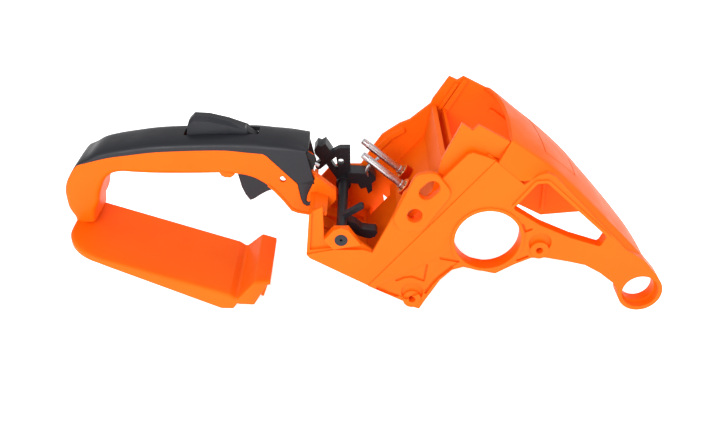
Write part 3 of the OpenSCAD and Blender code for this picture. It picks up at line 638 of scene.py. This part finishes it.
def trigger():
    face = curve_through([(-80.2, 64.2), (-77.2, 65.4), (-73.2, 68.2), (-67.6, 71.4), (-61.8, 73.6)], 4)
    blade = [(-88, 87), (-87.2, 83), (-85.6, 75), (-83.2, 68.8)] + [tuple(p) for p in face]
    blade += [(-61.6, 75.6), (-63, 82), (-64.6, 88), (-70, 90.5)]
    inner = [(-95, 84.5), (-95, 70.5), (-82, 70.5), (-77, 69.4), (-72.4, 72.4), (-66.4, 75.4), (-67.4, 84.5)]
    upper = [(-87.4, 87.4), (-64.6, 86), (-61, 97), (-66, 102), (-72, 100), (-84, 92.5)]
    bore = circle(TRIGGER_PIVOT, TRIGGER_EYE, 32)
    body = joined(slab(blade, -8, 8, rim=1.5, steps=3), slab(upper, -7, 7, rim=0.6))
    body = cut(body, slab(inner, -6, 6), slab(circle(TRIGGER_PIVOT, 4.6), -12, 12))
    arm = slab(slot_outline(TRIGGER_PIVOT, (-61, 107), 3.8), -4, 4, rim=0.5,
               holes=[circle((-61, 107), 2.2, 24), bore])
    hub = slab(circle(TRIGGER_PIVOT, 5), -9.7, 9.7, rim=0.4, holes=[bore])
    piece("trigger_blade", joined(body, arm, hub), "throttle_trigger", angle=30)


def tube(path, r, sides=12):
    """A wire along a list of points in millimetres."""
    path = [Vector(p) for p in path]
    rings = []
    side = None
    for i, p in enumerate(path):
        along = (path[min(i + 1, len(path) - 1)] - path[max(i - 1, 0)]).normalized()
        side = along.orthogonal() if side is None else side - along * side.dot(along)
        side.normalize()
        other = along.cross(side)
        turn = 2 * math.pi / sides
        rings.append([p + (side * math.cos(k * turn) + other * math.sin(k * turn)) * r for k in range(sides)])
    return loft(rings)


def torsion_spring(name, node, pivot, r, wire_r, y0, pitch, turns, leg_a, leg_b):
    """A coil round a pin with two straight legs."""
    steps = 32 * turns
    start, reach = math.radians(leg_a[0]), leg_a[1]
    coil = []
    for i in range(steps + 1):
        a = start + 2 * math.pi * turns * i / steps
        y = y0 + pitch * turns * i / steps
        coil.append(Vector((pivot[0] + r * math.cos(a), y, pivot[1] + r * math.sin(a))))
    first = coil[0] + Vector((math.sin(start), 0, -math.cos(start))) * reach
    last = coil[-1] + Vector((-math.sin(start), 0, math.cos(start))) * leg_b
    piece(name, tube([first] + coil + [last], wire_r), node, angle=50)


# ---------- the shroud ----------

# The crown's near edge, from the rear rim to the nose, and its height across the body
CROWN_LINE = [
    (94.5, 126.5), (109, 116.5), (123.7, 106), (135, 96), (146.3, 85.2), (157, 74.6), (168, 63.7),
    (176.5, 55.2), (184.5, 47), (191.5, 39.5),
]
SKIRT_DEPTH = [16, 17.5, 3.8, 5, 5.4, 5.6, 6, 6.2, 4.6, 3.4]
# How far the crown bows up at its middle, and falls at its far edge
CROWN_BOW = [5.6, 5, 4.4, 4.2, 4, 3.5, 3, 2.8, 2.6, 2.4]
CROWN_FALL = [0.4, 2, 2.8, 2.5, 2.2, 2.9, 3.6, 4.4, 5.3, 6]
SHROUD_SKIN = 2.6
# The shroud's near face, the crease between its near side and the crown, and half the crown's width
NEAR_Y = -50
CREASE_Y = -43
CROWN_HALF = 46
# How far the rear rim leans forward for each millimetre across the body
REAR_LEAN = 0.05
# The groove round the panel on the crown, and the panel's corners: spans from the rear rim, and y
GROOVE_R = 0.6
PANEL = [(1.5, 27), (3.6, 23), (3.55, -22.5), (1.65, -29)]


def crown_height(bow, fall, y):
    """How far the crown stands off its near edge's line at y."""
    edge = -CREASE_Y
    return bow * (1 - (y / CROWN_HALF) ** 2) - fall * (y + edge) / (2 * CROWN_HALF) - 0.15 * max(0, y - edge)


def crown_point(line, t, y):
    """A point on the crown, t of CROWN_LINE's spans from its rear rim."""
    i = min(int(t * 5), len(line) - 2)
    a, b = line[i], line[i + 1]
    s = a + (b - a) * (t * 5 - i)
    along = Vector((b[0] - a[0], b[1] - a[1])).normalized()
    h = crown_height(s[3], s[4], y)
    return s[0] - along.y * h, y, s[1] + along.x * h


def shroud():
    rows = [(*p, *rest) for p, *rest in zip(CROWN_LINE, SKIRT_DEPTH, CROWN_BOW, CROWN_FALL)]
    line = curve_through(rows, 5)
    outer, inner = [], []
    for i, s in enumerate(line):
        a, b = line[max(i - 1, 0)], line[min(i + 1, len(line) - 1)]
        along = Vector((b[0] - a[0], b[1] - a[1])).normalized()
        normal = Vector((-along.y, along.x))
        lean = REAR_LEAN if i == 0 else 0.0
        for rings, inset in ((outer, 0.0), (inner, SHROUD_SKIN)):
            top = crown_height(s[3], s[4], CREASE_Y) - 0.5
            side_in = inset * 0.9
            row = [(NEAR_Y + 6.6 * k / 6 + side_in, -s[2] + (s[2] + top) * k / 6) for k in range(7)]
            for k in range(25):
                y = -42.4 + 91.2 * k / 24
                row.append((y + (side_in if y < -40 else 0), crown_height(s[3], s[4], y) - inset))
            rings.append([
                Vector((s[0] + normal.x * h - normal.y * lean * (y - NEAR_Y), y,
                        s[1] + normal.y * h + normal.x * lean * (y - NEAR_Y)))
                for y, h in row
            ])
    shell = loft([a + b[::-1] for a, b in zip(outer, inner)])
    # the fine groove round the sloping panel on the crown
    for (t0, y0), (t1, y1) in zip(PANEL, PANEL[1:] + PANEL[:1]):
        path = [crown_point(line, t0 + (t1 - t0) * k / 10, y0 + (y1 - y0) * k / 10) for k in range(11)]
        shell = cut(shell, tube(path, GROOVE_R, 8))
    piece("shroud_shell", shell, "shroud", angle=24, rim=0.5, rim_angle=40)


# ---------- plate, studs ----------

def adjuster():
    low, _ = box_mm("adjuster_plate")
    outline = fillet([(19, 74.5), (33.6, 107), (46.5, 108.5), (58, 93.4), (39, 65), (24, 65.5)], 8, 8)
    holes = [circle((33.6, 76.9), 5, 40), slot_outline((40.8, 93.8), (44.4, 97.4), 5)]
    cover = slab(outline, low.y, -47.6, rim=0.9, holes=holes, steps=4)
    piece("adjuster_cover", cover, "adjuster_plate", angle=40)


def opening_liner():
    """The round lining of the large opening in the side bracket."""
    opening, outer_r, inner_r, y0, y1 = (83, 57.5), 24.3, 22.25, -50.9, -39.2
    ring = slab(circle(opening, outer_r, 96), y0, y1, rim=0.5, holes=[circle(opening, inner_r, 96)])
    piece("opening_ring", ring, "side_bracket", stands_in=False)


SEAM_ANGLE = math.radians(49.65)
STUD_FOOT = (31.73, 73.82)


def stud(name, node):
    """A stud with a wide root and collar, a smooth shank and a threaded end."""
    low, high = box_mm(node)
    root_r, shank_r, root, length, pitch, thread = 3.2, 2.5, 12.0, 46.0, 0.8, 5.0
    sides = 32
    profile = [(0.0, 2.8), (0.4, root_r), (root - 0.4, root_r), (root, 2.8), (root + 0.01, shank_r)]
    rings = [[(h, r)] * sides for h, r in profile]
    rings.append([(length - thread, shank_r)] * sides)
    steps = int(thread / pitch * 8)
    depth = 0.25
    for i in range(1, steps + 1):
        h = length - thread + (thread - 0.7) * i / steps
        ring = []
        for k in range(sides):
            phase = (h / pitch - k / sides) % 1
            ring.append((h, shank_r - depth * abs(2 * phase - 1) * min(1, i / 8)))
        rings.append(ring)
    rings.append([(length, 1.7)] * sides)
    turn = 2 * math.pi / sides
    points = [[Vector((r * math.cos(k * turn), r * math.sin(k * turn), h)) for k, (h, r) in enumerate(ring)]
              for ring in rings]
    mesh = loft(points)
    middle = (low.y + high.y) / 2
    place = Matrix.Translation((STUD_FOOT[0] * MM, middle * MM, STUD_FOOT[1] * MM))
    mesh.transform(place @ Matrix.Rotation(-SEAM_ANGLE, 4, "Y") @ Matrix.Translation((0, 0, -3.4 * MM)))
    piece(name, mesh, node, angle=35)


grip()
guard()
moulding()
lever()
trigger()
shroud()
adjuster()
opening_liner()
stud("stud_rod_near", "stud_near")
stud("stud_rod_far", "stud_far")
torsion_spring("trigger_coil", "trigger_spring", TRIGGER_PIVOT, 5.6, 0.5, 10.6, 1.1, 2, (100, 9), 10)
torsion_spring("interlock_coil", "interlock_spring", INTERLOCK_PIVOT, 2.2, 0.4, 4.8, 0.95, 3, (60, 6), 1.5)

# ---------- stage, lights, camera ----------


def stage():
    """A pale floor that runs up to the horizon, soft lights and the camera."""
    mesh = bpy.data.meshes.new("floor")
    half = 30.0
    corners = [(-half, -half, 0), (half, -half, 0), (half, half, 0), (-half, half, 0)]
    mesh.from_pydata(corners, [], [(0, 1, 2, 3)])
    floor = bpy.data.objects.new("floor", mesh)
    bpy.context.scene.collection.objects.link(floor)
    mat, _, bsdf, _ = shader("floor_white")
    bsdf.inputs["Base Color"].default_value = (0.95, 0.95, 0.95, 1)
    bsdf.inputs["Roughness"].default_value = 0.9
    bsdf.inputs["Emission Color"].default_value = (1, 1, 1, 1)
    bsdf.inputs["Emission Strength"].default_value = 0.75
    mesh.materials.append(mat)
    floor.location.z = BOUNDS_BEFORE[0][2] - 0.0002
    world = bpy.data.worlds.new("studio")
    bpy.context.scene.world = world
    world.use_nodes = True
    world.node_tree.nodes["Background"].inputs["Color"].default_value = (1, 1, 1, 1)
    world.node_tree.nodes["Background"].inputs["Strength"].default_value = 0.6

    def area(name, where, size, power):
        light = bpy.data.lights.new(name, "AREA")
        light.shape = "RECTANGLE"
        light.size, light.size_y = size
        light.energy = power
        obj = bpy.data.objects.new(name, light)
        bpy.context.scene.collection.objects.link(obj)
        obj.location = where
        aim = Vector((0, 0, 0.06)) - Vector(where)
        obj.rotation_euler = aim.to_track_quat("-Z", "Y").to_euler()

    area("key", (-0.45, -1.25, 0.7), (0.8, 0.6), 14)
    area("fill", (0.9, -0.8, 0.5), (0.8, 0.8), 3)
    area("top", (0.5, 0.2, 1.1), (0.8, 0.6), 3)

    cam = bpy.data.cameras.new("camera")
    cam.lens = 42.09
    cam.sensor_width = 36
    cam.clip_start = 0.01
    obj = bpy.data.objects.new("camera", cam)
    bpy.context.scene.collection.objects.link(obj)
    obj.location = (0, -0.53584, 0.3525)
    obj.rotation_euler = (math.radians(60), 0, 0)
    bpy.context.scene.camera = obj
    bpy.context.scene.view_settings.view_transform = "Standard"


stage()
